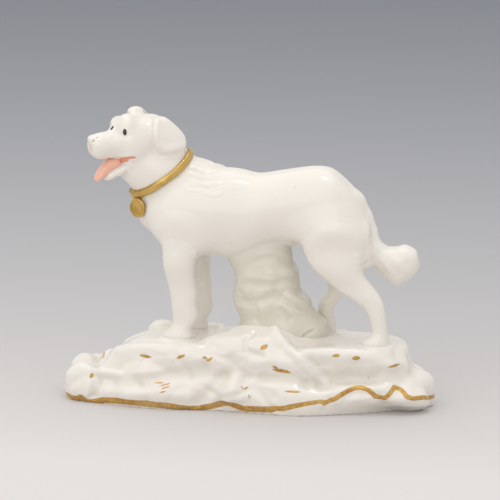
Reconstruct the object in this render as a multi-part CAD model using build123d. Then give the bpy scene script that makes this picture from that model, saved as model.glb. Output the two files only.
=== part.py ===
from build123d import *

import os
from math import cos, pi, radians, sin

# A white-glazed porcelain dog standing on a rocky mound, a mantelpiece ornament.
# It is made the potter's way: the mound, the rock under the belly, the body, head, jaw,
# tongue, ears, legs, tail, collar, ring and locket are pressed or cast one by one, trimmed to
# fit each other, and luted together with slip before firing. Every seam here is such a seat.
# Frame: origin under the middle of the base, +Z up, the dog looks towards -X and turns its
# head to its own left, towards -Y. Sizes are millimetres; heights of the dog are above its paws.

# Mound
BASE_LENGTH = 150.0
BASE_DEPTH = 48.0
BASE_HEIGHT = 26.0
LEDGE_HEIGHT = 13.0
LEDGE_STEP = 8.0
BASE_WALL = 5.0
UPPER_SHIFT = 4.0
HUMP_PLACE = (3.0, -12.0)
HUMP_LENGTH = 40.0
HUMP_DEPTH = 14.0
HUMP_RISE = 4.5
STONE_PLACE = (-37.0, 12.0)
STONE_LENGTH = 11.0
STONE_RISE = 2.6
EDGE_NOTCH = 3.6
FRONT_NOTCH = 266.0
CORNER_NOTCH = 324.0
# Rocks of the mound: place along and aside as shares of its half length and depth, height, half depth
ROCKS = (
    (-0.77, -0.33, 5.0, 9.5),
    (-0.48, -0.50, 12.0, 9.0),
    (0.00, -0.62, 7.0, 8.0),
    (0.69, -0.33, 17.5, 9.0),
    (0.82, -0.42, 5.0, 8.0),
    (0.74, 0.38, 8.0, 10.0),
    (0.29, 0.58, 12.0, 9.0),
    (-0.19, 0.56, 9.0, 9.5),
    (-0.64, 0.42, 9.0, 11.0),
)
ROCK_STRETCH = 1.6
ROCK_FLAT = 0.85
SCOOP_PLACE = (0.44, -1.12)
SCOOP_HEIGHT = 15.0
SCOOP_RADIUS = 8.5

# Rock under the belly
ROCK_LENGTH = 27.0
ROCK_DEPTH = 17.0
ROCK_SPREAD = 9.0
ROCK_SHIFT = 7.5
LUMP_RADIUS = 9.0
LUMP_STAND = 1.7
LUMPS_ROUND = 5
LUMP_ROWS = 3

# Body
BODY_LENGTH = 87.0
BODY_SHIFT = 3.5
WITHERS_HEIGHT = 66.5
CROUP_HEIGHT = 69.2
BRISKET_HEIGHT = 31.0
FLANK_HEIGHT = 38.0
CHEST_WIDTH = 29.0
LOIN_WIDTH = 25.0
RUMP_WIDTH = 25.0

# Neck and collar
NECK_DEPTH = 27.4
NECK_WIDTH = 22.0
NECK_LEAN = 35.0
NECK_TURN = 10.0
COLLAR_HEIGHT = 65.0
COLLAR_REACH = 38.2
COLLAR_WIDTH = 3.4
COLLAR_THICKNESS = 1.0

# Locket and its ring
LOCKET_LENGTH = 7.8
LOCKET_WIDTH = 7.6
LOCKET_THICKNESS = 1.8
LOCKET_STAND = 1.2
RING_RADIUS = 2.0
RING_WIRE = 1.1
CHARM_SWING = 25.0
CHARM_TURN = 62.0
CHARM_TILT = 24.0

# Head
HEAD_RISE = 13.6
HEAD_TURN = 38.0
HEAD_DROP = 3.0
SKULL_LENGTH = 24.0
SKULL_WIDTH = 20.0
SKULL_DEPTH = 22.0
MUZZLE_LENGTH = 10.2
MUZZLE_WIDTH = 10.2
MUZZLE_DEPTH = 10.6
BROW_RADIUS = 3.6
BROW_SPREAD = 8.6
MOUTH_GAPE = 25.0
JAW_ROOT = 6.6
JAW_LENGTH = 13.4
JAW_WIDTH = 8.6
JAW_THICKNESS = 4.0
TONGUE_WIDTH = 5.6
TONGUE_THICKNESS = 4.2
EAR_LENGTH = 15.5
EAR_WIDTH = 14.0
EAR_THICKNESS = 3.0
EAR_PERK = 2.8
EAR_PRESS = 2.0

# Legs
TRACK_WIDTH = 18.0
ELBOW_HEIGHT = 29.0
WRIST_HEIGHT = 12.0
STIFLE_HEIGHT = 29.0
HOCK_HEIGHT = 20.0
FORELEG_DEPTH = 10.0
UPPER_ARM_DEPTH = 13.0
THIGH_DEPTH = 24.0
SHANK_DEPTH = 6.6
LEG_WIDTH = 6.6
THIGH_WIDTH = 10.5
PAW_LENGTH = 11.0
PAW_WIDTH = 8.4
PAW_HEIGHT = 4.6
FORE_STAGGER = 2.6
LEFT_STRIDE = 18.4
RIGHT_STRIDE = -5.0

# Tail
TAIL_DROP = 19.6
TAIL_REACH = 28.2
TAIL_ROOT = 10.0
TAIL_PLUME = 15.4

SECTION_POINTS = 8
OUTLINE_POINTS = 40

UP = Vector(0, 0, 1)
SIDE = Vector(0, 1, 0)


def turned(vector, degrees):
    """A direction turned about the upright, towards the dog's left when positive."""
    return vector.rotate(Axis.Z, degrees)


def oval(centre, across, up, half_across, half_up, pear=0.0):
    """A closed smooth outline about a centre; a positive pear widens its lower half."""
    points = []
    for step in range(SECTION_POINTS):
        angle = 2 * pi * step / SECTION_POINTS - pi / 2
        reach = half_across * cos(angle) * (1 - pear * sin(angle))
        points.append(centre + across * reach + up * (half_up * sin(angle)))
    times = list(range(SECTION_POINTS + 1))
    return Wire([Edge.make_spline(points, periodic=True, parameters=times)])


def flesh(outlines):
    """A smooth solid through outlines, in their order."""
    return Solid.make_loft(outlines)


def largest(shape):
    """The one solid that a trimmed piece is, without the crumbs of its trimming."""
    return max(shape.solids(), key=lambda solid: solid.volume)


def trimmed(piece, *neighbours):
    """A piece cut back to the faces of the pieces that it is luted to."""
    for neighbour in neighbours:
        piece = largest(piece - neighbour)
    return piece


# Places that several pieces share
BODY_MIDDLE = Vector(BODY_SHIFT, 0, BASE_HEIGHT)
COLLAR_CENTRE = BODY_MIDDLE + Vector(-COLLAR_REACH, 0, COLLAR_HEIGHT)
NECK_AXIS = turned(Vector(-sin(radians(NECK_LEAN)), 0, cos(radians(NECK_LEAN))), NECK_TURN)
NAPE_WAY = turned(Vector(cos(radians(NECK_LEAN)), 0, sin(radians(NECK_LEAN))), NECK_TURN)
NECK_SIDE = turned(SIDE, NECK_TURN)
HEAD_CENTRE = COLLAR_CENTRE + NECK_AXIS * HEAD_RISE
FORWARD = turned(Vector(-cos(radians(HEAD_DROP)), 0, -sin(radians(HEAD_DROP))), HEAD_TURN)
CROWN = turned(Vector(-sin(radians(HEAD_DROP)), 0, cos(radians(HEAD_DROP))), HEAD_TURN)
LEFT = turned(-SIDE, HEAD_TURN)


def beside(along, height, aside=0.0):
    """A point of the dog: along its length as a share of the body, height above its paws."""
    return BODY_MIDDLE + Vector(along * BODY_LENGTH, aside, height)


def in_head(forward, left, crown):
    """A point of the head, from the middle of the skull."""
    return HEAD_CENTRE + FORWARD * forward + LEFT * left + CROWN * crown


def edge_notch(angle):
    """How far the mound's edge is notched in at an angle seen from above: folds of two rhythms."""
    small_folds = 1 + cos(9 * (angle - radians(FRONT_NOTCH)))
    large_folds = 1 + cos(5 * (angle - radians(CORNER_NOTCH)))
    return EDGE_NOTCH * (0.3 * small_folds + 0.2 * large_folds)


def base_outline(length, depth, height, shift=0.0, scallop=1.0):
    """The mound's plan at one height, from a plain rounded oblong to the scalloped edge."""
    points = []
    for step in range(OUTLINE_POINTS):
        angle = 2 * pi * step / OUTLINE_POINTS
        reach = (abs(cos(angle)) ** 3 + abs(sin(angle)) ** 3) ** (-1 / 3)
        notch = scallop * edge_notch(angle)
        along = (length / 2 * reach - notch) * cos(angle)
        aside = (depth / 2 * reach - notch) * sin(angle)
        points.append(Vector(shift + along, aside, height))
    times = list(range(OUTLINE_POINTS + 1))
    return Wire([Edge.make_spline(points, periodic=True, parameters=times)])


def boulder(place, length, depth, rise):
    """A rounded rock standing out of the mound's top."""
    return flesh([
        oval(Vector(*place, BASE_HEIGHT + height), Vector(1, 0, 0), SIDE,
             length / 2 * spread, depth / 2 * spread)
        for height, spread in (
            (-BASE_WALL * 0.8, 1.1), (0, 1.0), (rise * 0.6, 0.76), (rise * 0.95, 0.36), (rise, 0.12))
    ])


def rounded_rock(along, aside, height, size):
    """A long flat lump of the mound, placed by shares of its half length and depth."""
    lump = scale(Sphere(size), by=(ROCK_STRETCH, 1, ROCK_FLAT))
    return Location((along * BASE_LENGTH / 2, aside * BASE_DEPTH / 2, height)) * lump


def base_mound():
    """The rocky mound: a scalloped lower ledge, a step in, a standing top, hollow and open below."""
    step = 2 * LEDGE_STEP
    upper_length = BASE_LENGTH - 1.55 * step
    upper_depth = BASE_DEPTH - 0.4 * step
    lower = flesh([
        base_outline(BASE_LENGTH * 0.985, BASE_DEPTH * 0.97, 0),
        base_outline(BASE_LENGTH, BASE_DEPTH, LEDGE_HEIGHT * 0.4),
        base_outline(BASE_LENGTH - 0.2 * step, BASE_DEPTH - 0.12 * step, LEDGE_HEIGHT * 0.8, scallop=0.7),
        base_outline(BASE_LENGTH - 0.9 * step, BASE_DEPTH - 0.5 * step, LEDGE_HEIGHT * 1.1, scallop=0.4),
    ])
    middle = (LEDGE_HEIGHT + BASE_HEIGHT) / 2
    upper = flesh([
        base_outline(upper_length, upper_depth, LEDGE_HEIGHT / 2, UPPER_SHIFT, 0.5),
        base_outline(upper_length - 0.35 * step, upper_depth, middle, UPPER_SHIFT + 2, 0.35),
        base_outline(upper_length - 1.0 * step, upper_depth - 0.16 * step,
                     BASE_HEIGHT - 1.5, UPPER_SHIFT + 5.5, 0.2),
        base_outline(upper_length - 1.4 * step, upper_depth - 0.4 * step,
                     BASE_HEIGHT, UPPER_SHIFT + 7.5, 0.2),
    ])
    hump = boulder(HUMP_PLACE, HUMP_LENGTH, HUMP_DEPTH, HUMP_RISE)
    stone = boulder(STONE_PLACE, STONE_LENGTH, STONE_LENGTH * 0.8, STONE_RISE)
    inset = 2 * BASE_WALL
    hollow = flesh([
        base_outline(BASE_LENGTH - inset, BASE_DEPTH - inset, 0),
        base_outline(upper_length - inset, upper_depth - inset, LEDGE_HEIGHT * 0.8, UPPER_SHIFT, 0.5),
        base_outline(upper_length - inset - step, upper_depth - inset,
                     BASE_HEIGHT - BASE_WALL, UPPER_SHIFT + 3, 0.4),
    ])
    rocks = [rounded_rock(*rock) for rock in ROCKS]
    scoop = rounded_rock(*SCOOP_PLACE, SCOOP_HEIGHT, SCOOP_RADIUS)
    below = Location((0, 0, -BASE_HEIGHT)) * Box(2 * BASE_LENGTH, 2 * BASE_DEPTH, 2 * BASE_HEIGHT)
    return largest(lower.fuse(upper, hump, stone, *rocks) - scoop - hollow - below)


def body():
    """Trunk and neck up to the collar, one casting."""
    def section(along, top, low, width):
        middle = beside(along, (top + low) / 2)
        return oval(middle, SIDE, UP, width / 2, (top - low) / 2)

    girth = (CHEST_WIDTH + LOIN_WIDTH) / 2
    trunk = flesh([
        section(-0.54, BRISKET_HEIGHT + 22, BRISKET_HEIGHT + 16.5, CHEST_WIDTH * 0.16),
        section(-0.526, BRISKET_HEIGHT + 26, BRISKET_HEIGHT + 13, CHEST_WIDTH * 0.38),
        section(-0.49, WITHERS_HEIGHT - 5.5, BRISKET_HEIGHT + 10.5, CHEST_WIDTH * 0.68),
        section(-0.43, WITHERS_HEIGHT - 0.5, BRISKET_HEIGHT + 5.2, CHEST_WIDTH * 0.9),
        section(-0.293, WITHERS_HEIGHT + 2, BRISKET_HEIGHT + 0.6, CHEST_WIDTH),
        section(-0.132, WITHERS_HEIGHT + 1.2, BRISKET_HEIGHT + 0.8, CHEST_WIDTH),
        section(0.006, WITHERS_HEIGHT - 0.6, BRISKET_HEIGHT + 3.5, girth),
        section(0.155, (WITHERS_HEIGHT + CROUP_HEIGHT) / 2, FLANK_HEIGHT, LOIN_WIDTH),
        section(0.305, CROUP_HEIGHT, FLANK_HEIGHT - 0.6, RUMP_WIDTH),
        section(0.415, CROUP_HEIGHT - 4.2, FLANK_HEIGHT + 0.2, RUMP_WIDTH * 0.92),
        section(0.477, CROUP_HEIGHT - 11, FLANK_HEIGHT + 2.3, RUMP_WIDTH * 0.7),
        section(0.506, CROUP_HEIGHT - 17, FLANK_HEIGHT + 6.5, RUMP_WIDTH * 0.36),
        section(0.512, CROUP_HEIGHT - 19.5, FLANK_HEIGHT + 9, RUMP_WIDTH * 0.14),
    ])

    def ring(below, shift, depth, width):
        middle = COLLAR_CENTRE - NECK_AXIS * below + NAPE_WAY * shift
        return oval(middle, NECK_SIDE, NAPE_WAY, width / 2, depth / 2)

    neck = flesh([
        ring(22, 4.5, NECK_DEPTH * 1.3, CHEST_WIDTH * 0.8),
        ring(14, 3.2, NECK_DEPTH * 1.4, CHEST_WIDTH * 0.92),
        ring(8.4, 1.7, NECK_DEPTH * 1.25, (CHEST_WIDTH + NECK_WIDTH) / 2),
        ring(COLLAR_WIDTH, 0.5, NECK_DEPTH * 1.07, NECK_WIDTH * 1.03),
        ring(0, 0, NECK_DEPTH, NECK_WIDTH),
    ])
    return largest(trunk + neck)


def head():
    """Skull, brows, muzzle and the top of the neck down to the collar."""
    half = SKULL_LENGTH / 2
    nose = half + MUZZLE_LENGTH

    def section(forward, top, low, width, pear=0.0):
        return oval(in_head(forward, 0, (top + low) / 2), LEFT, CROWN, width / 2, (top - low) / 2, pear)

    crown = SKULL_DEPTH * 0.55
    lip = -MUZZLE_DEPTH * 0.35
    bridge = MUZZLE_DEPTH * 0.65
    skull = flesh([
        section(-half, crown - 7, crown - 14, SKULL_WIDTH * 0.4),
        section(-half * 0.88, crown - 3.4, crown - SKULL_DEPTH * 0.85, SKULL_WIDTH * 0.72),
        section(-half * 0.45, crown - 0.5, crown - SKULL_DEPTH, SKULL_WIDTH * 0.95),
        section(half * 0.2, crown, crown - SKULL_DEPTH, SKULL_WIDTH),
        section(half * 0.68, crown - 0.2, crown - SKULL_DEPTH * 0.92, SKULL_WIDTH * 0.9),
        section(half * 0.89, crown - 1.5, crown - SKULL_DEPTH * 0.8, SKULL_WIDTH * 0.7),
        section(half, crown - 3.5, crown - SKULL_DEPTH * 0.64, SKULL_WIDTH * 0.42),
    ])
    muzzle = flesh([
        section(half * 0.4, bridge + 0.6, lip - 2.6, MUZZLE_WIDTH * 1.1),
        section(half * 0.8, bridge + 0.4, lip - 1.2, MUZZLE_WIDTH * 1.2),
        section(half * 1.06, bridge + 0.2, lip - 0.4, MUZZLE_WIDTH * 1.12),
        section(half + MUZZLE_LENGTH * 0.5, bridge, lip, MUZZLE_WIDTH, 0.08),
        section(half + MUZZLE_LENGTH * 0.82, bridge - 0.6, lip + 0.9, MUZZLE_WIDTH * 0.92, 0.06),
        section(nose - 0.7, bridge - 1.2, lip + 2, MUZZLE_WIDTH * 0.74),
        section(nose, bridge - 2.2, lip + 3.0, MUZZLE_WIDTH * 0.44),
    ])
    brow_height = crown - BROW_RADIUS + 0.2
    brows = [
        Location(in_head(half * 0.62, side * BROW_SPREAD / 2, brow_height)) * Sphere(BROW_RADIUS)
        for side in (1, -1)
    ]

    def ring(above, shift, depth, width):
        middle = COLLAR_CENTRE + NECK_AXIS * above + NAPE_WAY * shift
        return oval(middle, NECK_SIDE, NAPE_WAY, width / 2, depth / 2)

    throat = flesh([
        ring(0, 0, NECK_DEPTH, NECK_WIDTH),
        ring(COLLAR_WIDTH, 0, NECK_DEPTH * 0.97, NECK_WIDTH * 0.98),
        ring(HEAD_RISE * 0.62, -1.6, NECK_DEPTH * 0.9, NECK_WIDTH * 0.9),
        ring(HEAD_RISE, -2.0, NECK_DEPTH * 0.72, NECK_WIDTH * 0.74),
        ring(HEAD_RISE * 1.25, -1, NECK_DEPTH * 0.4, NECK_WIDTH * 0.45),
    ])
    return largest(skull.fuse(muzzle, throat, *brows))


def jaw_line():
    """The lower jaw's own directions: forward along it, and up from it."""
    gape = radians(MOUTH_GAPE)
    along = FORWARD * cos(gape) - CROWN * sin(gape)
    above = FORWARD * sin(gape) + CROWN * cos(gape)
    hinge = in_head(SKULL_LENGTH / 2 - JAW_ROOT, 0, -MUZZLE_DEPTH * 0.42)
    return hinge, along, above


def lower_jaw():
    """The dropped lower jaw, a shallow scoop under the tongue."""
    hinge, along, above = jaw_line()

    def section(share, width, thickness):
        middle = hinge + along * (share * JAW_LENGTH) - above * (JAW_THICKNESS * 0.3)
        return oval(middle, LEFT, above, width / 2, thickness / 2)

    return flesh([
        section(0.0, JAW_WIDTH, JAW_THICKNESS),
        section(0.35, JAW_WIDTH, JAW_THICKNESS),
        section(0.75, JAW_WIDTH * 0.82, JAW_THICKNESS * 0.9),
        section(0.94, JAW_WIDTH * 0.58, JAW_THICKNESS * 0.7),
        section(1.0, JAW_WIDTH * 0.3, JAW_THICKNESS * 0.4),
    ])


def tongue():
    """The tongue lies along the jaw and hangs over its front."""
    hinge, along, above = jaw_line()

    def section(share, lift, turn, width, thickness):
        middle = hinge + along * (share * JAW_LENGTH) + above * (lift * TONGUE_THICKNESS)
        rise = above * cos(radians(turn)) + along * sin(radians(turn))
        return oval(middle, LEFT, rise, TONGUE_WIDTH * width / 2, TONGUE_THICKNESS * thickness / 2)

    return flesh([
        section(0.28, 0.12, -20, 0.9, 0.75),
        section(0.62, 0.52, -8, 1.0, 1.0),
        section(0.93, 0.30, 18, 1.0, 0.9),
        section(1.14, 0.04, 32, 0.92, 0.6),
        section(1.25, -0.14, 40, 0.55, 0.3),
    ])


def ear(side, lift, press):
    """A hanging ear flap; side is 1 for the left, lift perks its root, the neck's press pushes it out."""
    crown = SKULL_DEPTH * 0.55
    reach = SKULL_WIDTH / 2
    out = LEFT * side
    half = EAR_THICKNESS / 2

    def section(forward, aside, drop, width, thickness, lean):
        middle = in_head(forward, side * aside, crown - drop)
        hang = (out * cos(radians(lean)) + CROWN * sin(radians(lean))).normalized()
        return oval(middle, FORWARD * side, hang, width / 2, thickness * half)

    return flesh([
        section(lift - 5.0, reach * 0.45, 3.6, EAR_WIDTH * 0.46, 1.0, 75),
        section(lift - 5.4, reach * 0.9, 3.0 - lift, EAR_WIDTH * 0.56, 1.1, 45),
        section(lift / 3 - 6.3, reach * 1.14, EAR_LENGTH * 0.42 - lift / 2, EAR_WIDTH * 0.86, 1.0, 5),
        section(-7.6, reach * 1.16 + press * 0.5, EAR_LENGTH * 0.72, EAR_WIDTH * 0.9, 0.9, 0),
        section(-8.4, reach * 1.08 + press * 0.9, EAR_LENGTH * 0.93, EAR_WIDTH * 0.56, 0.8, -10),
        section(-8.6, reach * 1.04 + press, EAR_LENGTH, EAR_WIDTH * 0.25, 0.5, -10),
    ])


def leg(stations):
    """A leg through level outlines: height, place along, place aside, depth and width of each."""
    return flesh([
        oval(Vector(along, aside, BASE_HEIGHT + height), Vector(1, 0, 0), SIDE, depth / 2, width / 2)
        for height, along, aside, depth, width in stations
    ])


def paw_stations(along, aside):
    """The paw, its toes ahead of the leg, flat where it stands on the mound."""
    toes = along - PAW_LENGTH * 0.17
    return [
        (PAW_HEIGHT, along - PAW_LENGTH * 0.06, aside, SHANK_DEPTH * 1.12, LEG_WIDTH),
        (PAW_HEIGHT * 0.5, toes, aside, PAW_LENGTH * 0.94, PAW_WIDTH),
        (0, toes, aside, PAW_LENGTH, PAW_WIDTH),
    ]


def fore_leg(side, stagger):
    """A straight front leg from the shoulder down; side is 1 for the right."""
    along = BODY_SHIFT - BODY_LENGTH * 0.33 + stagger
    aside = side * TRACK_WIDTH / 2
    shoulder = side * (CHEST_WIDTH / 2 - LEG_WIDTH * 0.66)
    return leg([
        (ELBOW_HEIGHT + 21, along + 2, side * CHEST_WIDTH * 0.2, UPPER_ARM_DEPTH * 0.4, LEG_WIDTH * 0.5),
        (ELBOW_HEIGHT + 15, along + 1, side * CHEST_WIDTH * 0.29, UPPER_ARM_DEPTH * 0.95, LEG_WIDTH * 1.1),
        (ELBOW_HEIGHT + 7, along, shoulder, UPPER_ARM_DEPTH * 1.1, LEG_WIDTH * 1.4),
        (ELBOW_HEIGHT, along - 0.4, shoulder, UPPER_ARM_DEPTH, LEG_WIDTH * 1.3),
        (ELBOW_HEIGHT - 7, along + 0.5, aside, UPPER_ARM_DEPTH * 0.86, LEG_WIDTH * 1.12),
        ((ELBOW_HEIGHT + WRIST_HEIGHT) / 2 - 4, along + 1.2, aside, FORELEG_DEPTH * 1.06, LEG_WIDTH),
        (WRIST_HEIGHT, along + 1.4, aside, FORELEG_DEPTH, LEG_WIDTH),
        (PAW_HEIGHT + 2.6, along + 0.9, aside, FORELEG_DEPTH * 0.82, LEG_WIDTH * 0.92),
        *paw_stations(along, aside),
    ])


def hind_leg(side, stride):
    """A hind leg with its thigh; the paw stands one stride behind the hip."""
    hip = BODY_SHIFT + BODY_LENGTH * 0.375
    aside = side * TRACK_WIDTH / 2
    flank = side * (RUMP_WIDTH / 2 - THIGH_WIDTH * 0.26)
    knee = (STIFLE_HEIGHT + HOCK_HEIGHT) / 2
    return leg([
        (FLANK_HEIGHT + 17, hip - 1, side * RUMP_WIDTH * 0.2, THIGH_DEPTH * 0.3, THIGH_WIDTH * 0.4),
        (FLANK_HEIGHT + 12, hip - 1, side * RUMP_WIDTH * 0.3, THIGH_DEPTH * 0.6, THIGH_WIDTH * 0.7),
        (FLANK_HEIGHT + 3, hip, flank, THIGH_DEPTH * 0.98, THIGH_WIDTH),
        (STIFLE_HEIGHT + 5, hip, flank, THIGH_DEPTH * 0.95, THIGH_WIDTH),
        (STIFLE_HEIGHT, hip + stride * 0.11, flank, THIGH_DEPTH * 0.78, THIGH_WIDTH * 0.95),
        (knee, hip + stride * 0.22 + 2, aside, THIGH_DEPTH * 0.7, LEG_WIDTH * 1.35),
        (HOCK_HEIGHT, hip + stride * 0.4 + 3.6, aside, THIGH_DEPTH * 0.58, LEG_WIDTH * 1.2),
        (HOCK_HEIGHT * 0.76, hip + stride * 0.8 + 0.8, aside, SHANK_DEPTH * 1.3, LEG_WIDTH),
        (HOCK_HEIGHT * 0.48, hip + stride - 1, aside, SHANK_DEPTH, LEG_WIDTH * 0.92),
        *paw_stations(hip + stride, aside),
    ])


def tail():
    """The tail leaves the croup and swells into a curled plume."""
    root = beside(0.415, CROUP_HEIGHT - 17)

    def section(back, drop, lean, depth, width):
        along = Vector(sin(radians(lean)), 0, cos(radians(lean)))
        return oval(root + Vector(back, 0, -drop), SIDE, along, width / 2, depth / 2)

    return flesh([
        section(0, 0, 42, TAIL_ROOT * 0.7, TAIL_ROOT * 0.6),
        section(TAIL_REACH * 0.27, TAIL_DROP * 0.32, 50, TAIL_ROOT, TAIL_ROOT * 0.8),
        section(TAIL_REACH * 0.43, TAIL_DROP * 0.72, 52, TAIL_ROOT * 1.1, TAIL_ROOT),
        section(TAIL_REACH * 0.60, TAIL_DROP * 0.96, 28, TAIL_PLUME * 0.88, TAIL_PLUME * 0.78),
        section(TAIL_REACH * 0.77, TAIL_DROP, 0, TAIL_PLUME, TAIL_PLUME * 0.85),
        section(TAIL_REACH * 0.93, TAIL_DROP * 0.93, -14, TAIL_PLUME * 0.78, TAIL_PLUME * 0.7),
        section(TAIL_REACH, TAIL_DROP * 0.88, -16, TAIL_PLUME * 0.3, TAIL_PLUME * 0.3),
    ])


def rock_support():
    """The rock that carries the belly while the clay is soft, spreading towards its foot."""
    top = BRISKET_HEIGHT + 8
    along = ROCK_SHIFT

    def section(height, shift, length, depth):
        centre = Vector(along + shift, 0, BASE_HEIGHT + height)
        return oval(centre, Vector(1, 0, 0), SIDE, length / 2, depth / 2)

    column = flesh([
        section(top, -1.5, ROCK_LENGTH * 0.9, ROCK_DEPTH * 0.8),
        section(BRISKET_HEIGHT, -1.5, ROCK_LENGTH * 1.06, ROCK_DEPTH),
        section(BRISKET_HEIGHT * 0.66, 1.5, ROCK_LENGTH * 0.92, ROCK_DEPTH),
        section(BRISKET_HEIGHT * 0.3, 4, ROCK_LENGTH * 1.2, ROCK_DEPTH * 1.15),
        section(0, 6, ROCK_LENGTH + ROCK_SPREAD, ROCK_DEPTH + ROCK_SPREAD * 0.5),
    ])
    sunk = LUMP_RADIUS - LUMP_STAND
    lumps = []
    for row in range(LUMP_ROWS):
        low = 1 - (row + 0.3) / LUMP_ROWS
        for step in range(LUMPS_ROUND):
            angle = 2 * pi * (step + row / 2) / LUMPS_ROUND
            reach = ROCK_LENGTH / 2 + ROCK_SPREAD * low * low / 2 - sunk
            aside = ROCK_DEPTH / 2 + ROCK_SPREAD * low * low / 4 - sunk
            place = Vector(along + 6 * low - 1 + reach * cos(angle), aside * sin(angle), BASE_HEIGHT)
            lumps.append(Location(place + UP * (BRISKET_HEIGHT * (1 - low))) * Sphere(LUMP_RADIUS))
    return largest(column.fuse(*lumps))


def collar_band():
    """A flat band round the neck, covering the seam between the head and the body."""
    half = COLLAR_WIDTH / 2
    return flesh([
        oval(COLLAR_CENTRE + NECK_AXIS * offset, NECK_SIDE, NAPE_WAY,
             NECK_WIDTH / 2 + COLLAR_THICKNESS, NECK_DEPTH / 2 + COLLAR_THICKNESS)
        for offset in (-half, 0, half)
    ])


def charm_hook():
    """Where the charm hangs from the collar's lower edge, and the way its face looks."""
    swing = radians(CHARM_SWING)
    middle = COLLAR_THICKNESS / 2
    ahead = NAPE_WAY * (-cos(swing) * (NECK_DEPTH / 2 + middle))
    aside = NECK_SIDE * (-sin(swing) * (NECK_WIDTH / 2 + middle))
    hook = COLLAR_CENTRE - NECK_AXIS * (COLLAR_WIDTH / 2) + ahead + aside
    return hook, turned(Vector(-1, 0, 0), CHARM_TURN)


def locket_ring():
    """The wire ring that carries the locket, through the lower edge of the collar."""
    hook, facing = charm_hook()
    return Plane(origin=hook + UP * (RING_RADIUS * 0.2), z_dir=facing) * Torus(RING_RADIUS, RING_WIRE / 2)


def locket():
    """An oval locket with a rounded face, hung aslant from its ring against the chest."""
    hook, facing = charm_hook()
    tilt = radians(CHARM_TILT)
    fall = UP.cross(facing) * sin(tilt) - UP * cos(tilt)
    across = facing.cross(fall)
    middle = hook - UP * (RING_RADIUS * 0.4) + fall * (LOCKET_LENGTH / 2) + facing * LOCKET_STAND
    return flesh([
        oval(middle + facing * (LOCKET_THICKNESS * rise), across, fall,
             LOCKET_WIDTH / 2 * spread, LOCKET_LENGTH / 2 * spread)
        for rise, spread in ((-0.5, 0.7), (-0.4, 0.92), (-0.1, 1.0), (0.15, 1.0), (0.4, 0.86), (0.5, 0.6))
    ])


def build():
    """Every piece, trimmed to its seats, by name."""
    pieces = {}
    mound = base_mound()
    trunk = body()
    skull = trimmed(head(), trunk)
    pieces["base_mound"] = mound
    pieces["body"] = trunk
    pieces["head"] = skull
    pieces["rock_support"] = trimmed(rock_support(), trunk, mound)
    pieces["front_left_leg"] = trimmed(fore_leg(-1, 0), trunk)
    pieces["front_right_leg"] = trimmed(fore_leg(1, FORE_STAGGER), trunk)
    pieces["hind_left_leg"] = trimmed(hind_leg(-1, LEFT_STRIDE), trunk)
    pieces["hind_right_leg"] = trimmed(hind_leg(1, RIGHT_STRIDE), trunk, pieces["rock_support"])
    pieces["tail"] = trimmed(tail(), trunk, pieces["hind_left_leg"], pieces["hind_right_leg"])
    pieces["lower_jaw"] = trimmed(lower_jaw(), skull)
    pieces["tongue"] = trimmed(tongue(), skull, pieces["lower_jaw"])
    pieces["left_ear"] = trimmed(ear(1, 0, EAR_PRESS), skull)
    pieces["right_ear"] = trimmed(ear(-1, EAR_PERK, 0), skull)
    pieces["locket_ring"] = trimmed(locket_ring(), trunk, skull)
    pieces["locket"] = trimmed(locket(), trunk, skull, pieces["locket_ring"])
    pieces["collar_band"] = trimmed(collar_band(), trunk, skull, pieces["locket_ring"])
    return pieces


os.makedirs("parts", exist_ok=True)
for name, piece in build().items():
    piece.label = name
    export_step(piece, f"parts/{name}.step")
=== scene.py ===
import math

import bpy
import numpy as np
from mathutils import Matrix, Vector
from mathutils.bvhtree import BVHTree


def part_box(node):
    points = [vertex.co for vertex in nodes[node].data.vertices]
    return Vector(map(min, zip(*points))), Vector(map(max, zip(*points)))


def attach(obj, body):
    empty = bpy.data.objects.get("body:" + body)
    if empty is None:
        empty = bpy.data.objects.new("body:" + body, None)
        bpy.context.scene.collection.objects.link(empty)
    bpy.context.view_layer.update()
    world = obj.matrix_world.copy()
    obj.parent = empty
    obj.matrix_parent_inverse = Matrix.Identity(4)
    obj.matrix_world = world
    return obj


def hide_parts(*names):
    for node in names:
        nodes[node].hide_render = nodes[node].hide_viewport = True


# A white-glazed porcelain dog on a rocky mound with gilt edges.
# Each clay piece starts as a copy of its solid, is pressed to an even skin, luted to its neighbours,
# modelled with strokes, and painted. Sizes below are millimetres unless a line says metres.

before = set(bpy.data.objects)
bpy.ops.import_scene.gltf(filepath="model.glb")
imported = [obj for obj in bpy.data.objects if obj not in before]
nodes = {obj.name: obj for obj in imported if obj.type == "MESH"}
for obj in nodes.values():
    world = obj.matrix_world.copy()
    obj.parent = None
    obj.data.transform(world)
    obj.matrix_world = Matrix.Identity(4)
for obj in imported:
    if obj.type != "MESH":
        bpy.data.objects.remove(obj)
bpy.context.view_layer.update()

MM = 0.001
# Further off than any point of the figure
FAR = 1e3

# The camera stands where the photograph was taken from, in metres. The picture is 500 by 500 points.
PICTURE = 500
VIEW_TURN = math.radians(10)
VIEW_RISE = math.radians(11)
VIEW_REACH = 1.0
VIEW_WIDTH = 0.2
VIEW_AIM = Vector((-0.00099, 0.0114, 0.0586))
LEVEL_REACH = math.cos(VIEW_RISE)
BACK = Vector((math.sin(VIEW_TURN) * LEVEL_REACH, -math.cos(VIEW_TURN) * LEVEL_REACH, math.sin(VIEW_RISE)))
RIGHT = Vector((math.cos(VIEW_TURN), math.sin(VIEW_TURN), 0))
UP = BACK.cross(RIGHT)
EYE = VIEW_AIM + BACK * VIEW_REACH
# A line drawn on the picture is followed in steps of this many points
DRAWN_STEP = 4

# The head's own directions and its middle, as the solids have them
HEAD = np.array((-42.4, -1.35, 102.1))
FORWARD = np.array((-0.787, -0.615, -0.052))
LEFT = np.array((0.616, -0.788, 0.0))
CROWN = np.array((-0.041, -0.032, 0.999))

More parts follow.
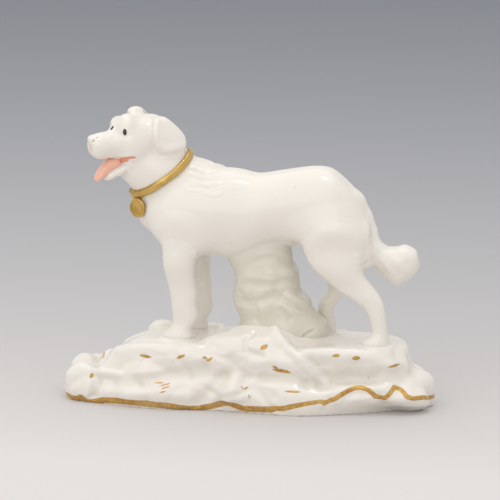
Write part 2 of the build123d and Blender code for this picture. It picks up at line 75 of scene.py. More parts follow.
FLOOR_OF_PAWS = 26.0

# The solids that are luted into one skin, with how far each is smoothed all over.
# The collar hides the joint between the two skins.
LEGS = ["front_left_leg", "front_right_leg", "hind_left_leg", "hind_right_leg"]
BODY_SKIN = {"body": 0.02, "tail": 0.02, "rock_support": 0.3} | {leg: 0.02 for leg in LEGS}
HEAD_SKIN = {"head": 0.3, "lower_jaw": 0.12, "left_ear": 0.16, "right_ear": 0.16}
# Seams worked over with slip: two solids, how far from the seam, how much
SEAMS = [("body", leg, 13.0, 1.0) for leg in LEGS]
SEAMS += [
    ("tail", "body", 14.0, 1.0), ("tail", "hind_left_leg", 8.0, 0.8), ("tail", "hind_right_leg", 8.0, 0.8),
    ("rock_support", "body", 3.0, 0.06), ("head", "lower_jaw", 1.6, 0.2),
    ("head", "left_ear", 2.2, 0.4), ("head", "right_ear", 2.2, 0.4)]
# The collar's middle, the way the neck goes through it, and the far side of the neck
COLLAR = np.array((-34.7, 0.0, 91.0))
NECK = np.array((-0.565, -0.0996, 0.819))
NECK_SIDE = np.array((-0.174, 0.985, 0.0))
NECK_RADIUS = 11
NECK_SAG = 2.3
NECK_SAG_REACH = 9

# Paint, glaze and painted shade that a piece keeps for its finish; the pool in the hollows is gathered glaze
# and painted shade together
PAINTS = ("gilt", "iris", "coral", "blush", "glaze_pool_and_shade", "umber", "stone")
HOLLOW_ROUNDS = 24
HOLLOW_DEPTH = 0.35
# Slip is laid on in this many strengths
SLIP_STEPS = 50


# Handling pieces

def pick(piece):
    """Selects one piece and nothing else."""
    if bpy.context.object and bpy.context.object.mode != "OBJECT":
        bpy.ops.object.mode_set(mode="OBJECT")
    bpy.ops.object.select_all(action="DESELECT")
    piece.select_set(True)
    bpy.context.view_layer.objects.active = piece


def finish_with(piece, kind, **settings):
    """Adds a modifier with its settings and applies it."""
    pick(piece)
    bpy.ops.object.modifier_add(type=kind)
    modifier = piece.modifiers[-1]
    for key, value in settings.items():
        setattr(modifier, key, value)
    bpy.ops.object.modifier_apply(modifier=modifier.name)


def press(piece, grain):
    """Makes the piece one even skin of that grain."""
    finish_with(piece, "REMESH", mode="VOXEL", voxel_size=grain * MM, use_smooth_shade=True)


def pressed(name, solids, grain, wads=(), pieces=(), closing=0.0):
    """Copies of solids, wads of clay and earlier pieces, joined and pressed to an even skin of that grain.

    Clefts narrower than twice the closing are filled.
    """
    copies = list(pieces)
    for middle, radii, lean in wads:
        bpy.ops.object.select_all(action="DESELECT")
        bpy.ops.mesh.primitive_uv_sphere_add(
            segments=48, ring_count=24, radius=MM, location=Vector(middle) * MM,
            rotation=(0, math.radians(lean), 0), scale=radii)
        bpy.ops.object.transform_apply(location=True, rotation=True, scale=True)
        copies.append(bpy.context.object)
    for solid in solids:
        copy = bpy.data.objects.new(f"{name}_{solid}", nodes[solid].data.copy())
        bpy.context.scene.collection.objects.link(copy)
        copies.append(copy)
    pick(copies[0])
    for copy in copies:
        copy.select_set(True)
    if len(copies) > 1:
        bpy.ops.object.join()
    piece = bpy.context.object
    piece.name = name
    bpy.ops.object.mode_set(mode="EDIT")
    bpy.ops.mesh.select_all(action="SELECT")
    bpy.ops.mesh.remove_doubles(threshold=1e-6)
    bpy.ops.object.mode_set(mode="OBJECT")
    press(piece, grain)
    for swell in (closing, -closing) if closing else ():
        finish_with(piece, "DISPLACE", strength=swell * MM, mid_level=0.0)
        press(piece, grain)
    return piece


def distances(points, solid, margin):
    """How far each point is from a solid, for points within a margin of its box."""
    low, high = (np.array(corner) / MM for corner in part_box(solid))
    away = np.full(len(points), FAR)
    near = np.flatnonzero(np.all((points > low - margin) & (points < high + margin), axis=1))
    surface = BVHTree.FromObject(nodes[solid], bpy.context.evaluated_depsgraph_get())
    metres = points[near] * MM
    away[near] = [surface.find_nearest(Vector(point))[3] / MM for point in metres]
    return away


def column(items, key, width=1, kind=np.float32):
    """What a mesh keeps under one key: a value for each item, or a row of that width."""
    flat = np.empty(len(items) * width, kind)
    items.foreach_get(key, flat)
    return flat.reshape(-1, width) if width > 1 else flat


class Clay:
    """One soft piece: its points in millimetres, the strokes that shape it and the paint on it."""

    def __init__(self, piece):
        self.piece = piece
        self.paint = {}
        self.read()

    def read(self):
        """Takes points, facing and edges from the piece."""
        mesh = self.piece.data
        self.points = column(mesh.vertices, "co", 3).astype(float) / MM
        self.facing = column(mesh.vertex_normals, "vector", 3).astype(float)
        self.edges = column(mesh.edges, "vertices", 2, np.int32)
        self.skin = None

    def settle(self):
        """Puts the moved points back in the piece and takes its new facing."""
        mesh = self.piece.data
        mesh.vertices.foreach_set("co", (self.points * MM).astype(np.float32).ravel())
        mesh.update()
        self.facing = column(mesh.vertex_normals, "vector", 3).astype(float)
        self.skin = None

    def surface(self):
        """The piece's surface as it last settled, to find places on."""
        if self.skin is None:
            self.skin = BVHTree.FromObject(self.piece, bpy.context.evaluated_depsgraph_get())
        return self.skin

    def seen(self, across, down):
        """The point of the piece that the camera sees at a place of the picture."""
        way = (RIGHT * ((across - PICTURE / 2) / PICTURE * VIEW_WIDTH)
               + UP * ((PICTURE / 2 - down) / PICTURE * VIEW_WIDTH) - BACK * VIEW_REACH)
        hit = self.surface().ray_cast(EYE, way.normalized())
        return None if hit[0] is None else np.array(hit[0]) / MM

    def seen_path(self, places):
        """The points seen along a line drawn on the picture, close enough together to follow the surface."""
        found = []
        for (x0, y0), (x1, y1) in zip(places[:-1], places[1:]):
            steps = max(1, int(math.hypot(x1 - x0, y1 - y0) / DRAWN_STEP))
            for k in range(steps):
                found.append(self.seen(x0 + (x1 - x0) * k / steps, y0 + (y1 - y0) * k / steps))
        found.append(self.seen(*places[-1]))
        return [point for point in found if point is not None]

    def far_path(self, path, mirror=(1, -1, 1)):
        """The line's twin on the other side of the piece."""
        return [self.nearest(np.asarray(point) * mirror) for point in path]

    def nearest(self, point):
        """The point of the surface nearest to a point."""
        return np.array(self.surface().find_nearest(Vector(point) * MM)[0]) / MM

    def by_line(self, path, reach):
        """Points within reach of a line: their numbers, distances, and share of the way along it."""
        path = np.asarray(path, float).reshape(-1, 3)
        low, high = path.min(0) - reach, path.max(0) + reach
        near = np.flatnonzero(np.all((self.points > low) & (self.points < high), axis=1))
        spots = self.points[near]
        if len(path) == 1:
            return near, np.linalg.norm(spots - path[0], axis=1), np.full(len(near), 0.5)
        lengths = np.linalg.norm(np.diff(path, axis=0), axis=1)
        starts = np.concatenate([[0], np.cumsum(lengths)])
        away = np.full(len(near), FAR)
        share = np.zeros(len(near))
        for start, end, done, length in zip(path[:-1], path[1:], starts, lengths):
            if length < 1e-6:
                continue
            along = np.clip((spots - start) @ (end - start) / length ** 2, 0, 1)
            gap = np.linalg.norm(spots - start - along[:, None] * (end - start), axis=1)
            closer = gap < away
            away[closer] = gap[closer]
            share[closer] = (done + along[closer] * length) / starts[-1]
        return near, away, share

    def beside(self, path, reach):
        """How much each point lies beside a line: 1 close to it, and 0 from 1.3 reaches on."""
        near, away, _ = self.by_line(path, 1.4 * reach)
        weights = np.zeros(len(self.points))
        weights[near] = ease(1.3 - away / reach)
        return weights

    def stroke(self, path, width, rise, taper=0.0, way=None):
        """Raises the clay along a line, or cuts it where rise is below zero, rounded across the width."""
        near, away, share = self.by_line(path, width)
        swell = np.clip(1 - (away / width) ** 2, 0, 1) ** 2
        if taper:
            swell *= np.clip(np.minimum(share, 1 - share) / taper, 0, 1) ** 0.7
        ways = self.facing[near] if way is None else np.asarray(way)
        self.points[near] += ways * (rise * swell)[:, None]

    def work_over(self, weights, rounds, give=1.0):
        """Smooths the clay where the weights say.

        Hollows fill, and high places give a share of what smoothing takes.
        """
        group = self.piece.vertex_groups.new(name="slip")
        steps = np.round(np.clip(weights, 0, 1) * SLIP_STEPS)
        for step in np.unique(steps[steps > 0]):
            group.add(np.flatnonzero(steps == step).tolist(), step / SLIP_STEPS, "REPLACE")
        before = self.points
        finish_with(self.piece, "SMOOTH", factor=0.8, iterations=rounds, vertex_group="slip")
        self.piece.vertex_groups.clear()
        self.read()
        rise = ((self.points - before) * self.facing).sum(1)
        self.points -= self.facing * (np.minimum(rise, 0) * (1 - give))[:, None]
        self.settle()

    def brush(self, colour, path, half_width, taper=0.0, end_width=None):
        """Lays a brush stroke: the paint holds how deep inside the stroke a point is, below zero outside."""
        cover = self.paint.setdefault(colour, np.full(len(self.points), -1.0))
        near, away, share = self.by_line(path, half_width + 1.0)
        end_width = half_width if end_width is None else end_width
        width = half_width + (end_width - half_width) * share
        if taper:
            width = width * np.clip(np.minimum(share, 1 - share) / taper, 0.25, 1) ** 0.6
        cover[near] = np.maximum(cover[near], width - away)

    def smoothed(self, rounds, values=None):
        """Points, or values, evened out over their neighbours."""
        values = self.points.copy() if values is None else values.copy()
        first, second = self.edges.T
        count = np.bincount(first, minlength=len(values)) + np.bincount(second, minlength=len(values))
        flat = values.reshape(len(values), -1)
        for _ in range(rounds):
            for k in range(flat.shape[1]):
                total = (np.bincount(first, flat[second, k], len(values))
                         + np.bincount(second, flat[first, k], len(values)))
                flat[:, k] = 0.5 * flat[:, k] + 0.5 * total / np.maximum(count, 1)
        return flat.reshape(values.shape)

    def pool_glaze_and_shade(self):
        """Marks the hollows, where the glaze gathers and where shade is painted into the colour."""
        sunk = ((self.smoothed(HOLLOW_ROUNDS) - self.points) * self.facing).sum(1)
        self.paint["glaze_pool_and_shade"] = np.clip(sunk / HOLLOW_DEPTH, -1, 1)

    def store(self):
        """Keeps the paint with the piece, so that its finish can read it."""
        mesh = self.piece.data
        for colour in PAINTS:
            layer = mesh.attributes.new(colour, "FLOAT", "POINT")
            cover = self.paint.get(colour, np.full(len(self.points), -1.0))
            layer.data.foreach_set("value", np.clip(cover, -1, 1).astype(np.float32))


def neck_sag(points):
    """How the collar and the skin beside it slide down on the near side of the neck."""
    gap = points - COLLAR
    along = gap @ NECK
    near = np.clip(-(gap @ NECK_SIDE) / NECK_RADIUS, 0, 1) ** 1.2
    return NECK * (-NECK_SAG * near * np.exp(-(along / NECK_SAG_REACH) ** 2))[:, None]


def in_head(forward, left, crown):
    """A point of the head, from the middle of the skull."""
    return HEAD + FORWARD * forward + LEFT * left + CROWN * crown


def cells(points, seeds):
    """Distance to the nearest seed and to the next one, for stone-like lumps."""
    first = np.full(len(points), FAR)
    second = np.full(len(points), FAR)
    for seed in seeds:
        away = np.linalg.norm(points - seed, axis=1)
        second = np.minimum(second, np.maximum(first, away))
        first = np.minimum(first, away)
    return first, second


def ease(values):
    """A smooth step from 0 to 1."""
    values = np.clip(values, 0, 1)
    return values * values * (3 - 2 * values)


# Finishes

class Socket:
    """One output of a finish; sums written on it add Math nodes."""

    def __init__(self, finish, output):
        self.finish = finish
        self.output = output

    def sum(self, operation, first, second):
        """A Math node on two values."""
        return self.finish.node("ShaderNodeMath", {"operation": operation}, {0: first, 1: second})

    def __add__(self, other):
        return self.sum("ADD", self, other)

    def __radd__(self, other):
        return self.sum("ADD", other, self)

    def __sub__(self, other):
        return self.sum("SUBTRACT", self, other)

    def __rsub__(self, other):
        return self.sum("SUBTRACT", other, self)

    def __mul__(self, other):
        return self.sum("MULTIPLY", self, other)

    def __rmul__(self, other):
        return self.sum("MULTIPLY", other, self)

    def __truediv__(self, other):
        return self.sum("DIVIDE", self, other)

    def __rtruediv__(self, other):
        return self.sum("DIVIDE", other, self)

    def held(self):
        """The value kept between 0 and 1."""
        return self.finish.node("ShaderNodeClamp", {}, {0: self})


class Finish:
    """A material made of nodes."""

    def __init__(self, name):
        self.material = bpy.data.materials.new(name)
        self.material.use_nodes = True
        self.tree = self.material.node_tree
        self.tree.nodes.clear()

    def node(self, kind, settings, values, output=0):
        """Adds a node: its settings first, then the values or links of its sockets."""
        node = self.tree.nodes.new(kind)
        for key, value in settings.items():
            setattr(node, key, value)
        for key, value in values.items():
            socket = node.inputs[key]
            if isinstance(value, Socket):
                self.tree.links.new(value.output, socket)
            else:
                socket.default_value = value
        return Socket(self, node.outputs[output]) if node.outputs else None

    def place(self):
        """Where on the piece a point lies, in metres."""
        return self.node("ShaderNodeTexCoord", {}, {}, "Object")

    def noise(self, scale, detail):
        """An uneven cloud of values."""
        return self.node("ShaderNodeTexNoise", {}, {"Vector": self.place(), "Scale": scale, "Detail": detail})

    def painted(self, name):
        """The paint that the piece keeps under a name."""
        return self.node("ShaderNodeAttribute", {"attribute_name": name}, {}, "Fac")

    def blend(self, share, first, second):
        """A colour between two colours."""
        return self.node("ShaderNodeMix", {"data_type": "RGBA"}, {0: share, 6: first, 7: second}, 2)

    def edge(self, cover, softness):
        """A mask that is 1 inside a brush stroke, with an edge of that softness."""
        return (cover / softness + 0.5).held()

    def close(self, surface):
        """Ends the material at its surface."""
        self.node("ShaderNodeOutputMaterial", {}, {"Surface": surface})
        return self.material


# Colours of the glaze, from the paste up
GLAZE_WARM = (0.840, 0.792, 0.722, 1)
GLAZE_PALE = (0.878, 0.838, 0.780, 1)
# Glaze gathered in the hollows, made darker and yellower as painted shade
GLAZE_POOLED_AND_SHADED = (0.72, 0.69, 0.575, 1)
# The rock under the belly, darker and yellower as painted shade
ROCK_PAINTED_SHADE = (0.67, 0.635, 0.525, 1)
# Thin glaze on the high places, paler, which also carries the painted light on the muzzle
GLAZE_THIN_AND_LIT = (0.91, 0.90, 0.885, 1)
KILN_SPECK = (0.42, 0.33, 0.24, 1)
# Enamels painted on it
NOSE_PINK = (0.84, 0.46, 0.36, 1)
MOUTH_CORAL = (0.80, 0.26, 0.13, 1)
NOSTRIL_UMBER = (0.30, 0.19, 0.11, 1)
EYE_BLACK = (0.022, 0.017, 0.016, 1)
TONGUE_CORAL = (0.92, 0.47, 0.34, 1)
TONGUE_LIGHT = (0.95, 0.57, 0.44, 1)
TONGUE_GROOVE = (0.80, 0.28, 0.17, 1)
TONGUE_RIM = (0.92, 0.56, 0.42, 1)
# Gold laid with a brush, and the burnished gold of the collar
GILT_DARK = (0.40, 0.195, 0.03, 1)
GILT_LIGHT = (0.74, 0.45, 0.11, 1)
GILT_BRIGHT = (0.95, 0.68, 0.25, 1)
GOLD_DARK = (0.40, 0.23, 0.045, 1)
GOLD_LIGHT = (0.76, 0.51, 0.16, 1)
# Dark gold in the hollows as painted shade, and bright gold on the high parts as rubbing and painted
# highlight
GOLD_HOLLOW_SHADE = (0.17, 0.085, 0.02, 1)
GOLD_RUBBED_AND_LIT = (0.86, 0.62, 0.24, 1)
# How much of the thin gilding shines as metal
GILT_METAL = 0.65
# The studio's paper near, and far where painted shade darkens it to grey
PAPER_NEAR = (0.74, 0.715, 0.70, 1)
PAPER_FAR_SHADE = (0.160, 0.19, 0.25, 1)
PAPER_GRAIN = (0.6, 0.6, 0.6, 1)


def white_glaze():
    """Warm white glaze that gathers in hollows, with painted shade in the hollows, on the rock and on the
    skirt, painted light on the muzzle, and the gilding and enamels painted over it.
    """
    f = Finish("white_glaze")
    slow = f.noise(42, 3)
    fine = f.noise(520, 2)
    glaze_pool_and_shade = f.painted("glaze_pool_and_shade")
    body = f.blend((slow * 1.6 - 0.3).held(), GLAZE_WARM, GLAZE_PALE)
    # Painted shade: the hollows darken together with the gathered glaze
    pooled_and_shaded = ((glaze_pool_and_shade - 0.05) * 0.85).held()
    body = f.blend(pooled_and_shaded * 0.65, body, GLAZE_POOLED_AND_SHADED)
    # Painted shade of the belly: the rock is darker and yellower
    body = f.blend(f.painted("stone").held() * 0.75, body, ROCK_PAINTED_SHADE)
    # Paler where the glaze runs thin on high places, and painted light on the muzzle
    thin_glaze_and_light = ((0 - glaze_pool_and_shade) * 0.6 - 0.05).held()
    body = f.blend(thin_glaze_and_light * 0.5, body, GLAZE_THIN_AND_LIT)
    specks = f.node("ShaderNodeTexVoronoi", {}, {"Vector": f.place(), "Scale": 95.0})
    body = f.blend((1 - specks * 16).held() * 0.35, body, KILN_SPECK)
    ragged = (fine - 0.5) * 0.22
    blush = (f.painted("blush") + (slow - 0.5) * 0.2).held()
    body = f.blend(blush * 0.75, body, NOSE_PINK)
    coral = f.edge(f.painted("coral") + ragged * 0.5, 0.30)
    body = f.blend(coral * 0.9, body, MOUTH_CORAL)
    umber = f.edge(f.painted("umber") + ragged, 0.34)
    body = f.blend(umber * 0.5, body, NOSTRIL_UMBER)
    iris = f.edge(f.painted("iris") + ragged * 0.3, 0.2)
    body = f.blend(iris, body, EYE_BLACK)
    streak = f.noise(700, 3)
    gold = f.blend((streak * 2.6 - 0.8).held(), GILT_DARK, GILT_LIGHT)
    gold = f.blend((slow * 4.0 - 2.3).held() * 0.7, gold, GILT_BRIGHT)
    gilt = f.edge(f.painted("gilt") + ragged, 0.16)
    thin = ((slow + streak) * 1.4 - 0.55).held()
    laid = gilt * (0.72 + thin * 0.28)
    colour = f.blend(laid, body, gold)
    rough = 0.13 + slow * 0.08 + gilt * (0.12 + streak * 0.14)
    ripple = f.node("ShaderNodeBump", {}, {
        "Strength": 0.05, "Distance": 0.0006, "Height": fine * 0.4 + slow})
    shell = f.node("ShaderNodeBsdfPrincipled", {}, {
        "Base Color": colour, "Roughness": rough, "Metallic": laid * GILT_METAL, "Normal": ripple,
        "IOR": 1.5, "Coat Weight": 0.35, "Coat Roughness": 0.06})
    return f.close(shell)


def gilding():
    """Burnished gold over the glaze, brighter on the high parts where it is rubbed and as painted highlight,
    and brown in the hollows as painted shade.
    """
    f = Finish("gilding")
    slow = f.noise(230, 3)
    fine = f.noise(1500, 3)
    glaze_pool_and_shade = f.painted("glaze_pool_and_shade")
    gold = f.blend((slow * 1.7 - 0.35).held(), GOLD_DARK, GOLD_LIGHT)
    # Painted shade: dark brown gold in the hollows
    gold = f.blend((glaze_pool_and_shade * 1.3).held() * 0.75, gold, GOLD_HOLLOW_SHADE)
    # Rubbed bright on the high parts, with painted highlight
    gold = f.blend(((0 - glaze_pool_and_shade) * 1.2).held() * 0.6, gold, GOLD_RUBBED_AND_LIT)
    rough = 0.20 + fine * 0.16 + (glaze_pool_and_shade * 0.3).held()
    brushed = f.node("ShaderNodeBump", {}, {"Strength": 0.12, "Distance": 0.0004, "Height": fine})
    shell = f.node("ShaderNodeBsdfPrincipled", {}, {
        "Base Color": gold, "Roughness": rough, "Metallic": 0.92, "Normal": brushed})
    return f.close(shell)


def tongue_enamel():
    """Coral enamel under gloss, deeper in the groove where enamel gathers and shade is painted, and paler at
    the rim.
    """
    f = Finish("tongue_enamel")
    slow = f.noise(260, 2)
    glaze_pool_and_shade = f.painted("glaze_pool_and_shade")
    coral = f.blend((slow * 1.6 - 0.3).held(), TONGUE_CORAL, TONGUE_LIGHT)
    # Painted shade: deeper coral in the groove, with the gathered enamel
    coral = f.blend((glaze_pool_and_shade * 1.2).held() * 0.7, coral, TONGUE_GROOVE)
    coral = f.blend((0 - glaze_pool_and_shade).held() * 0.5, coral, TONGUE_RIM)
    shell = f.node("ShaderNodeBsdfPrincipled", {}, {
        "Base Color": coral, "Roughness": 0.16 + slow * 0.08,
        "IOR": 1.5, "Coat Weight": 0.3, "Coat Roughness": 0.06})
    return f.close(shell)


def paper():
    """Pale paper, with painted shade that darkens it into grey behind the figure."""
    f = Finish("studio_paper")
    depth = f.node("ShaderNodeSeparateXYZ", {}, {0: f.place()}, "Y")
    behind = f.node("ShaderNodeMath", {"operation": "MAXIMUM"}, {0: depth + 0.1, 1: 0.0})
    # Painted shade: the paper's colour falls to grey with distance behind the figure
    tone = f.blend(behind / (behind + 0.5), PAPER_NEAR, PAPER_FAR_SHADE)
    grain = f.noise(6, 2)
    tone = f.blend(grain * 0.03, tone, PAPER_GRAIN)
    shell = f.node("ShaderNodeBsdfPrincipled", {}, {
        "Base Color": tone, "Roughness": 0.85, "Specular IOR Level": 0.1})
    return f.close(shell)


# Studio

# All in metres and watts
FLOOR_SIZE = 7.0
LAMPS = [
    # name, place, size, power
    ("lamp_overhead", (-0.20, 0.02, 1.15), 1.5, 4.1),
    ("lamp_window", (0.14, -0.15, 1.24), 0.16, 0.8),
    ("lamp_front", (-0.35, -1.30, 0.80), 1.4, 4.0)]
LAMP_AIM = Vector((0, 0, 0.05))
AIR_COLOUR = (1.0, 0.985, 0.96, 1)
AIR_STRENGTH = 0.76
FILM_WIDTH = 36


def studio():
    """Paper floor, soft wide lamps overhead and in front, a small window lamp, soft air and the camera."""
    bpy.ops.object.select_all(action="DESELECT")
    bpy.ops.mesh.primitive_plane_add(size=FLOOR_SIZE, location=(0, 0, 0))
    floor = bpy.context.object
    floor.name = "studio_floor"
    floor.data.materials.append(paper())
    for name, place, size, power in LAMPS:
        bpy.ops.object.light_add(type="AREA", location=place)
        lamp = bpy.context.object
        lamp.name = name
        lamp.data.shape = "SQUARE"
        lamp.data.size = size
        lamp.data.energy = power
        lamp.rotation_euler = (LAMP_AIM - Vector(place)).to_track_quat("-Z", "Y").to_euler()
    world = bpy.data.worlds.new("studio_air")
    bpy.context.scene.world = world
    world.use_nodes = True
    sky = world.node_tree.nodes["Background"]
    sky.inputs["Color"].default_value = AIR_COLOUR
    sky.inputs["Strength"].default_value = AIR_STRENGTH
    bpy.ops.object.camera_add(location=EYE, rotation=(-BACK).to_track_quat("-Z", "Y").to_euler())
    camera = bpy.context.object
    camera.name = "camera"
    camera.data.sensor_width = FILM_WIDTH
    camera.data.lens = FILM_WIDTH * VIEW_REACH / VIEW_WIDTH
    camera.data.clip_start = 0.05
    bpy.context.scene.camera = camera
    bpy.context.scene.view_settings.view_transform = "Standard"


# The mound

# Places of the picture that the gilt line passes
GILT_EDGE = [
    (63.6, 387), (65.5, 393), (71.8, 396.9), (78.6, 397.5), (81, 395.8), (84.9, 399.4), (88.6, 402),
    (95.5, 400.6), (104.3, 398.8), (120.5, 400), (145.5, 402.5), (170.5, 405.2), (189, 407.8),
    (199, 407.4), (214, 404.4), (225.5, 401.3), (233, 404), (243, 407.3), (255, 408), (271, 408.4)]
GILT_THIN = [(271, 408.4), (283.8, 407.6), (295, 405), (308.8, 402.5), (321, 400.6), (328, 402)]
GILT_ZIGZAG = [
    (324, 403.4), (335, 398.8), (346, 392.5), (355, 387.5), (360, 386.3), (367.5, 390), (375, 396.3),
    (385, 399.4), (390, 393.8), (395, 386.3), (401, 388.8), (407.5, 396.9), (413.8, 399.4),
    (425, 397.5), (426.5, 397.5), (428, 397.5), (429, 397.5), (430, 397.5)]
# Gilt brush dashes: two ends in the picture and half a width
GILT_DASHES = [
    (106.5, 351, 102.3, 358.8, 0.6), (90, 377, 93, 374, 0.75), (139.5, 355.2, 151.3, 357.2, 0.62),
    (177, 358.6, 184.5, 355, 0.62), (202.3, 357.4, 207.3, 358, 0.55), (206.5, 361, 213, 357.6, 0.62),
    (153.5, 381.6, 163, 381.2, 0.33), (158, 385.6, 170.5, 382, 0.33), (160.5, 389, 170.5, 385.8, 0.33),
    (160, 392.4, 166, 391.4, 0.33), (240.5, 386, 244, 390, 0.34), (244, 390, 248, 386.4, 0.34),
    (248.6, 394, 250, 399, 0.34), (261, 349, 267, 345.4, 0.95), (272, 366.3, 278.3, 368, 0.5),
    (272.5, 370, 292, 373.2, 0.62), (279, 369, 290, 372, 0.5), (284, 391.2, 301, 392.2, 0.44),
    (332.8, 355.8, 340, 355, 0.66), (353, 358.6, 359.6, 357, 0.95), (388, 367.6, 401.6, 364.4, 0.52)]
MOUND_FOLDS = [
    # width, rise, places of the picture
    (3.0, -1.5, [(98, 356), (94, 370), (96, 385), (92, 401)]),
    (4.0, 0.8, [(70, 372), (80, 364), (90, 368)]),
    (4.5, -1.6, [(102, 381), (130, 383), (160, 380), (190, 373), (204, 368)]),
    (5.0, -0.8, [(114, 362), (140, 371), (165, 371), (186, 365)]),
    (3.5, 0.8, [(100, 360), (112, 350), (140, 347), (170, 348)]),
    (3.6, -0.7, [(198, 402), (212, 388), (224, 376)]),
    (3.6, -0.6, [(246, 380), (258, 388), (272, 396)]),
    (4.0, 0.8, [(226, 399), (231, 388), (236, 378)]),
    (3.4, -0.7, [(206, 347), (222, 353), (236, 362)]),
    (2.0, -0.6, [(254, 334), (245, 340), (246, 350), (262, 356)]),
    (2.8, 1.5, [(272, 332), (285, 344), (294, 353), (308, 366), (324, 381)]),
    (5.5, -1.5, [(314, 361), (328, 370), (345, 373), (354, 368)]),
    (4.0, 0.9, [(306, 354), (330, 350), (352, 352), (374, 357), (394, 366)]),
    (5.0, -2.1, [(322, 381), (345, 379), (372, 377), (402, 373)]),
    (7.0, 2.0, [(423, 376), (428, 378)]),
    (3.0, -1.0, [(398, 346), (396, 357), (402, 368)]),
    (3.0, -0.8, [(405, 370), (404, 380), (398, 386)]),
    (3.5, 0.7, [(255, 362), (272, 360), (292, 364), (306, 374)]),
    (3.5, -0.8, [(262, 378), (284, 380), (306, 384)]),
    (3.5, 0.7, [(128, 394), (160, 394), (188, 396)]),
    (3.0, -0.7, [(345, 399), (357, 392), (370, 395), (385, 404), (397, 392), (410, 402), (428, 401)])]

MOUND_GRAIN = 0.56
MOUND_HALF_LENGTH = 75
MOUND_HALF_DEPTH = 27
# The unseen back has the front's folds and dashes, turned round and drawn a little closer
FOLDS_TURNED = (-0.96, -1, 1)
DASHES_TURNED = (-0.94, -1, 1)

# The skirt under the right end: where it starts and over what length it sets in, its height,
# where its depth fades towards the back, and how far it is set back in waves
SKIRT_START = 24
SKIRT_RUN = 42
SKIRT_HEIGHT = 7.5
SKIRT_BACK = 5
SKIRT_FADE = 16
SKIRT_DEPTH = 7.0
SKIRT_WAVE = 1.1
SKIRT_WAVE_STEP = 4.2
# How much painted shade the skirt gets, where it sits back under the gilt edge
SKIRT_SHADE = 0.2

# Lumps of broken rock: how many, where, how they are drawn out, and their height and creases
LUMPS = 70
LUMP_SPREAD = ((-78, 78), (-27, 27), (0, 26))
LUMP_STRETCH = (1, 1.15, 1.5)
LUMP_HEIGHT = 0.2
LUMP_FADE_ABOVE = 5
LUMP_FADE_BELOW = 3
CREASE_WIDTH = 5.0
CREASE_DEPTH = 0.5
# The plain slab at the right end: its start, its back, and the length over which it sets in
SLAB_START = 56
SLAB_BACK = 14
SLAB_FADE = 8
SLAB_FOOT = 4
# The foot that stays even, and over what height the folds set in above it
FOOT_EVEN = 0.5
FOOT_RUN = 2.5
# Slip raised round what stands on the mound: reach and height
ROCK_SLIP = (6.5, 2.4)
PAW_SLIP = (3.2, 0.9)

# Half widths of the gilt line's stretches, first and last, and how far they run below the drawn places
EDGE_WIDTH = 1.3
EDGE_DROP = (0, 0, 0.5)
THIN_WIDTHS = (1.2, 0.75)
THIN_DROP = (0, 0, 0.3)
ZIGZAG_WIDTHS = (0.98, 0.9)
BACK_WIDTH = 0.95
# The line round the back: points, how far it runs over both ends, its height and two waves, and its run-in
BACK_POINTS = 420
BACK_OVERLAP = (0.08, 0.12)
BACK_HEIGHT = 3.6
BACK_WAVES = (1.3, 0.7)
BACK_RUN_IN = 0.12
DASH_TAPER = 0.25


def skirt_share(points):
    """How much each point belongs to the skirt that is set back under the gilt edge."""
    x, y, z = points.T
    return (ease((x - SKIRT_START) / SKIRT_RUN) * ease((SKIRT_HEIGHT - z) / SKIRT_HEIGHT)
            * ease((SKIRT_BACK - y) / SKIRT_FADE))


def broken_rock(clay):
    """Soft lumps with creases between them all round, kept off the standing places and off the slab.

    Gives how much each point belongs to the slab.
    """
    rng = np.random.default_rng(7)
    seeds = np.column_stack([rng.uniform(low, high, LUMPS) for low, high in LUMP_SPREAD])
    first, second = cells(clay.points * LUMP_STRETCH, seeds * LUMP_STRETCH)
    crease = 1 - ease((second - first) / CREASE_WIDTH)
    x, y, z = clay.points.T
    slab = ease((x - SLAB_START) / SLAB_FADE) * ease((SLAB_BACK - y) / SLAB_FADE)
    outside = clay.facing[:, 2] > -0.35
    below_paws = ease((FLOOR_OF_PAWS + 0.5 - z) / LUMP_FADE_ABOVE)
    wall = below_paws * outside * ease(z / LUMP_FADE_BELOW) * (1 - slab)
    clay.points += clay.facing * (wall * (LUMP_HEIGHT - CREASE_DEPTH * crease))[:, None]
    return slab


def press_folds(clay, folds, slab):
    """The folds drawn on the picture, and their twins at the back; the foot of the mound stays even."""
    before = clay.points.copy()
    for width, rise, path in folds:
        if len(path) > 1:
            clay.stroke(path, width, rise)
            clay.stroke(clay.far_path(path, FOLDS_TURNED), width, rise)
    slab_top = slab * (clay.points[:, 2] > SLAB_FOOT)
    clay.points = before + (clay.points - before) * ease((before[:, 2] - FOOT_EVEN) / FOOT_RUN)[:, None]
    clay.settle()
    clay.work_over(slab_top, rounds=40)


def raise_slip(clay):
    """Slip raised where paws and rock meet the mound."""
    for solid in LEGS + ["rock_support"]:
        reach, height = ROCK_SLIP if solid == "rock_support" else PAW_SLIP
        away = distances(clay.points, solid, reach + 1)
        rise = np.clip(1 - away / reach, 0, 1) ** 2 * (clay.facing[:, 2] > 0.3)
        clay.points[:, 2] += height * rise
    clay.settle()


